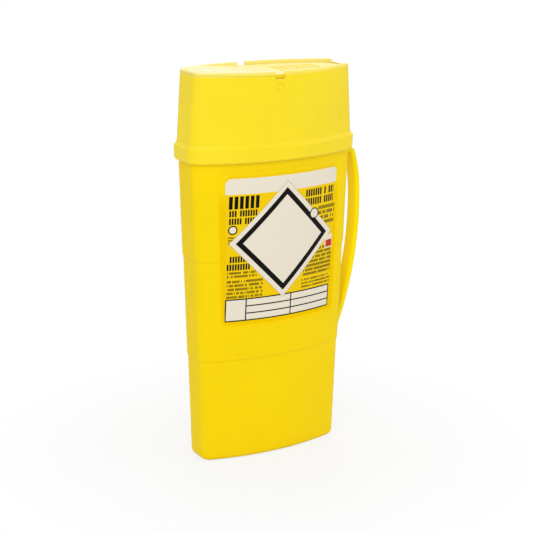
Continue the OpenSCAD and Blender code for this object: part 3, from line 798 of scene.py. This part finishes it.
def strap_tree():
    """Geometry nodes that sweep a rounded rectangle along a path of edges."""
    tree = bpy.data.node_groups.new("Strap sweep", "GeometryNodeTree")
    tree.interface.new_socket("Geometry", in_out="INPUT", socket_type="NodeSocketGeometry")
    for label in ("Width", "Thickness", "Edge radius"):
        tree.interface.new_socket(label, in_out="INPUT", socket_type="NodeSocketFloat")
    tree.interface.new_socket("Material", in_out="INPUT", socket_type="NodeSocketMaterial")
    tree.interface.new_socket("Geometry", in_out="OUTPUT", socket_type="NodeSocketGeometry")
    into = tree.nodes.new("NodeGroupInput").outputs
    path = put(tree, "GeometryNodeMeshToCurve", {"Mesh": into["Geometry"]})
    level = put(tree, "GeometryNodeSetCurveNormal", {"Curve": path.outputs[0]}, mode="FREE")
    level.inputs["Normal"].default_value = (0, 1, 0)
    outline = put(tree, "GeometryNodeCurvePrimitiveQuadrilateral",
                  {"Width": into["Width"], "Height": into["Thickness"]})
    rounded = put(tree, "GeometryNodeFilletCurve", {
        "Curve": outline.outputs[0], "Radius": into["Edge radius"], "Count": 6}, mode="POLY")
    swept = put(tree, "GeometryNodeCurveToMesh", {
        "Curve": level.outputs[0], "Profile Curve": rounded.outputs[0], "Fill Caps": True})
    real = put(tree, "GeometryNodeRealizeInstances", {0: swept.outputs[0]})
    dressed = put(tree, "GeometryNodeSetMaterial",
                  {"Geometry": real.outputs[0], "Material": into["Material"]})
    put(tree, "NodeGroupOutput", {"Geometry": dressed.outputs[0]})
    return tree


def grown_by(name, points, edges, tree, values):
    """Runs a geometry nodes tree over a path and returns the plain mesh that it makes."""
    mesh = bpy.data.meshes.new(name + "_path")
    mesh.from_pydata([[c * MM for c in p] for p in points], edges, [])
    helper = bpy.data.objects.new(name + "_path", mesh)
    modifier = helper.modifiers.new(tree.name, "NODES")
    modifier.node_group = tree
    sockets = {s.name: s.identifier for s in tree.interface.items_tree if s.in_out == "INPUT"}
    for key, value in values.items():
        modifier[sockets[key]] = value
    bpy.context.scene.collection.objects.link(helper)
    bpy.context.view_layer.update()
    return finished(helper)


# ---------------------------------------------------------------- stage


# The floor: half its side and its drop in metres, its paper, and where its glow towards the
# camera grows from which share to full
FLOOR_HALF_M = 6.0
FLOOR_DROP_M = 0.0002
FLOOR_PAPER = "#E8E8E8"
GLOW_REACH = (50.0, 160.0)
GLOW_LEAST = 0.78
WORLD_LIGHT = 0.61
# The point that the lights look at, in metres
LIT_MIDDLE = (0, 0, 0.11)
# Name, azimuth and elevation in degrees, distance and side in metres, watts
LIGHTS = (
    ("key softbox", -40, 36, 1.1, 0.8, 5.0),
    ("side fill", 62, 20, 1.5, 1.0, 3.7),
    ("back softbox", 150, 34, 1.3, 0.6, 3.2),
)
# The camera: degrees to the left of the front, degrees above, degrees of roll, the point that it
# looks at, its distance, and its lens on a sensor of that width
CAMERA_LEFT = 30.57
CAMERA_ABOVE = 15.84
CAMERA_ROLL = 0.48
CAMERA_AIM = (1.58, 0, 106.0)
CAMERA_AWAY = 815.8
CAMERA_LENS = 97.98
CAMERA_SENSOR = 36.0
CAMERA_NEAR_M = 0.01


def seen_from(azimuth, elevation):
    """The direction towards a place at an azimuth from the front and a height, in radians."""
    return Vector((sin(azimuth) * cos(elevation), -cos(azimuth) * cos(elevation), sin(elevation)))


def lay_floor(scene):
    """A wide sheet of pale paper, which glows white towards the camera away from the part."""
    mesh = bpy.data.meshes.new("floor")
    far = FLOOR_HALF_M
    corners = [(-far, -far, 0), (far, -far, 0), (far, far, 0), (-far, far, 0)]
    mesh.from_pydata(corners, [], [(0, 1, 2, 3)])
    floor = bpy.data.objects.new("floor", mesh)
    scene.collection.objects.link(floor)
    floor.location.z = -FLOOR_DROP_M
    material, tree, place = fresh_material("Floor pale paper")
    path = put(tree, "ShaderNodeLightPath")
    paper = put(tree, "ShaderNodeBsdfDiffuse", {"Color": (*linear(FLOOR_PAPER), 1)})
    glow = put(tree, "ShaderNodeEmission", {"Color": (1, 1, 1, 1), "Strength": 1.0})
    reach = put(tree, "ShaderNodeVectorMath", {0: place}, operation="LENGTH")
    fade = put(tree, "ShaderNodeMapRange",
               {0: reach.outputs["Value"], 1: GLOW_REACH[0], 2: GLOW_REACH[1], 3: GLOW_LEAST, 4: 1.0})
    share = put(tree, "ShaderNodeMath", {0: path.outputs["Is Camera Ray"], 1: fade.outputs[0]},
                operation="MULTIPLY")
    seen = put(tree, "ShaderNodeMixShader",
               {0: share.outputs[0], 1: paper.outputs[0], 2: glow.outputs[0]})
    put(tree, "ShaderNodeOutputMaterial", {"Surface": seen.outputs[0]})
    mesh.materials.append(material)


def light_world(scene):
    """An even studio, which is plain white where the camera or a reflection sees it."""
    world = bpy.data.worlds.new("Studio")
    scene.world = world
    world.use_nodes = True
    tree = world.node_tree
    tree.nodes.clear()
    path = put(tree, "ShaderNodeLightPath")
    either = put(tree, "ShaderNodeMath",
                 {0: path.outputs["Is Camera Ray"], 1: path.outputs["Is Glossy Ray"]}, operation="MAXIMUM")
    seen = put(tree, "ShaderNodeMath",
               {0: either.outputs[0], 1: path.outputs["Is Transmission Ray"]}, operation="MAXIMUM")
    lit = put(tree, "ShaderNodeBackground", {"Color": (1, 1, 1, 1), "Strength": WORLD_LIGHT})
    white = put(tree, "ShaderNodeBackground", {"Color": (1, 1, 1, 1), "Strength": 1.0})
    both = put(tree, "ShaderNodeMixShader", {0: seen.outputs[0], 1: lit.outputs[0], 2: white.outputs[0]})
    put(tree, "ShaderNodeOutputWorld", {"Surface": both.outputs[0]})


def hang_lights(scene):
    """Three square softboxes that look at the part's middle."""
    for name, azimuth, elevation, away, size, power in LIGHTS:
        lamp = bpy.data.lights.new(name, "AREA")
        lamp.shape = "SQUARE"
        lamp.size = size
        lamp.energy = power
        holder = bpy.data.objects.new(name, lamp)
        scene.collection.objects.link(holder)
        out = seen_from(radians(azimuth), radians(elevation))
        holder.location = Vector(LIT_MIDDLE) + out * away
        holder.rotation_euler = out.to_track_quat("Z", "Y").to_euler()


def set_camera(scene):
    """The camera, with a slight roll about its line of sight."""
    back = seen_from(-radians(CAMERA_LEFT), radians(CAMERA_ABOVE))
    roll = radians(CAMERA_ROLL)
    right = (-back).cross(Vector((0, 0, 1))).normalized()
    up = right.cross(-back)
    turned = right * cos(roll) + up * sin(roll)
    upright = up * cos(roll) - right * sin(roll)
    camera = bpy.data.cameras.new("camera")
    camera.sensor_width = CAMERA_SENSOR
    camera.lens = CAMERA_LENS
    camera.clip_start = CAMERA_NEAR_M
    viewer = bpy.data.objects.new("camera", camera)
    scene.collection.objects.link(viewer)
    matrix = Matrix((turned, upright, back)).transposed().to_4x4()
    matrix.translation = Vector(CAMERA_AIM) * MM + back * CAMERA_AWAY * MM
    viewer.matrix_world = matrix
    scene.camera = viewer
    scene.view_settings.view_transform = "Standard"


# ---------------------------------------------------------------- operators


class SHARPS_OT_tub(bpy.types.Operator):
    """Builds the drafted tub with its nesting steps and the sunk label panel"""

    bl_idname = "sharps.tub"
    bl_label = "Tub"

    def execute(self, context):
        blend = context.scene.sharps_sizes.panel_blend / MM
        keep("tub_shell", tub_mesh(blend), tub_plastic(context.scene), "container",
             ["container_body"])
        return {"FINISHED"}


class SHARPS_OT_strap(bpy.types.Operator):
    """Sweeps the bowed carry strap along its middle line"""

    bl_idname = "sharps.strap"
    bl_label = "Carry strap"

    def execute(self, context):
        low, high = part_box("carry_handle")
        path = [(x, 0.0, z) for x, z in strap_path()]
        edges = [(i, i + 1) for i in range(len(path) - 1)]
        material = strap_plastic(context.scene)
        mesh = grown_by("strap", path, edges, strap_tree(), {
            "Width": high.y - low.y, "Thickness": STRAP_T * MM,
            "Edge radius": context.scene.sharps_sizes.strap_edge, "Material": material})
        if not mesh.polygons:
            raise RuntimeError("the strap came out empty")
        mesh.shade_smooth()
        mesh.set_sharp_from_angle(angle=radians(50))
        keep("carry_strap", mesh, material, "container", ["carry_handle"])
        return {"FINISHED"}


class SHARPS_OT_lid(bpy.types.Operator):
    """Dresses the tall clip-on lid"""

    bl_idname = "sharps.lid"
    bl_label = "Lid"

    def execute(self, context):
        mesh = dressed_copy("lid_housing", context.scene.sharps_sizes.edge_round)
        keep("lid_shell", mesh, lid_plastic(context.scene), "container", ["lid_housing"])
        return {"FINISHED"}


class SHARPS_OT_flap(bpy.types.Operator):
    """Dresses the see-saw flap"""

    bl_idname = "sharps.flap"
    bl_label = "Flap"

    def execute(self, context):
        mesh = dressed_copy("rocker_flap", context.scene.sharps_sizes.edge_round, LIP_LET_DOWN)
        keep("flap_plate", mesh, lid_plastic(context.scene), "flap", ["rocker_flap"])
        return {"FINISHED"}


class SHARPS_OT_tab(bpy.types.Operator):
    """Dresses the push-down tab that locks the flap"""

    bl_idname = "sharps.tab"
    bl_label = "Securing tab"

    def execute(self, context):
        mesh = dressed_copy("securing_tab", context.scene.sharps_sizes.edge_round)
        keep("lock_tab", mesh, lid_plastic(context.scene), "tab", ["securing_tab"])
        return {"FINISHED"}


class SHARPS_OT_label(bpy.types.Operator):
    """Lays the blank printed label in its panel"""

    bl_idname = "sharps.label"
    bl_label = "Label"

    def execute(self, context):
        material = label_film("Polypropylene film printed", context.scene.sharps_colours,
                              context.scene.sharps_sizes.print_line / MM)
        keep("label_film", label_mesh(), material, "container", ["label_sheet"])
        return {"FINISHED"}


class SHARPS_OT_stage(bpy.types.Operator):
    """Sets up the pale floor, the soft lights and the camera"""

    bl_idname = "sharps.stage"
    bl_label = "Stage"

    def execute(self, context):
        lay_floor(context.scene)
        light_world(context.scene)
        hang_lights(context.scene)
        set_camera(context.scene)
        return {"FINISHED"}


class SHARPS_PT_parts(bpy.types.Panel):
    """Lists the container's parts, sizes and colours"""

    bl_idname = "SHARPS_PT_parts"
    bl_label = "Sharps Container"
    bl_space_type = "VIEW_3D"
    bl_region_type = "UI"
    bl_category = "Sharps"

    def draw(self, context):
        scene = context.scene
        for group in (scene.sharps_sizes, scene.sharps_colours):
            column = self.layout.column(align=True)
            for key in group.__annotations__:
                column.prop(group, key)
        column = self.layout.column(align=True)
        for operator in OPERATORS:
            column.operator(operator.bl_idname)


OPERATORS = (SHARPS_OT_tub, SHARPS_OT_strap, SHARPS_OT_lid, SHARPS_OT_flap, SHARPS_OT_tab, SHARPS_OT_label,
             SHARPS_OT_stage)
CLASSES = (ContainerSizes, ContainerColours, *OPERATORS, SHARPS_PT_parts)


def register():
    for one in CLASSES:
        bpy.utils.register_class(one)
    bpy.types.Scene.sharps_sizes = bpy.props.PointerProperty(type=ContainerSizes)
    bpy.types.Scene.sharps_colours = bpy.props.PointerProperty(type=ContainerColours)


def unregister():
    del bpy.types.Scene.sharps_colours
    del bpy.types.Scene.sharps_sizes
    for one in reversed(CLASSES):
        bpy.utils.unregister_class(one)


def main():
    register()
    bpy.ops.sharps.tub()
    bpy.ops.sharps.strap()
    bpy.ops.sharps.lid()
    bpy.ops.sharps.flap()
    bpy.ops.sharps.tab()
    bpy.ops.sharps.label()
    bpy.ops.sharps.stage()
    bpy.context.view_layer.update()


if __name__ == "__main__":
    main()
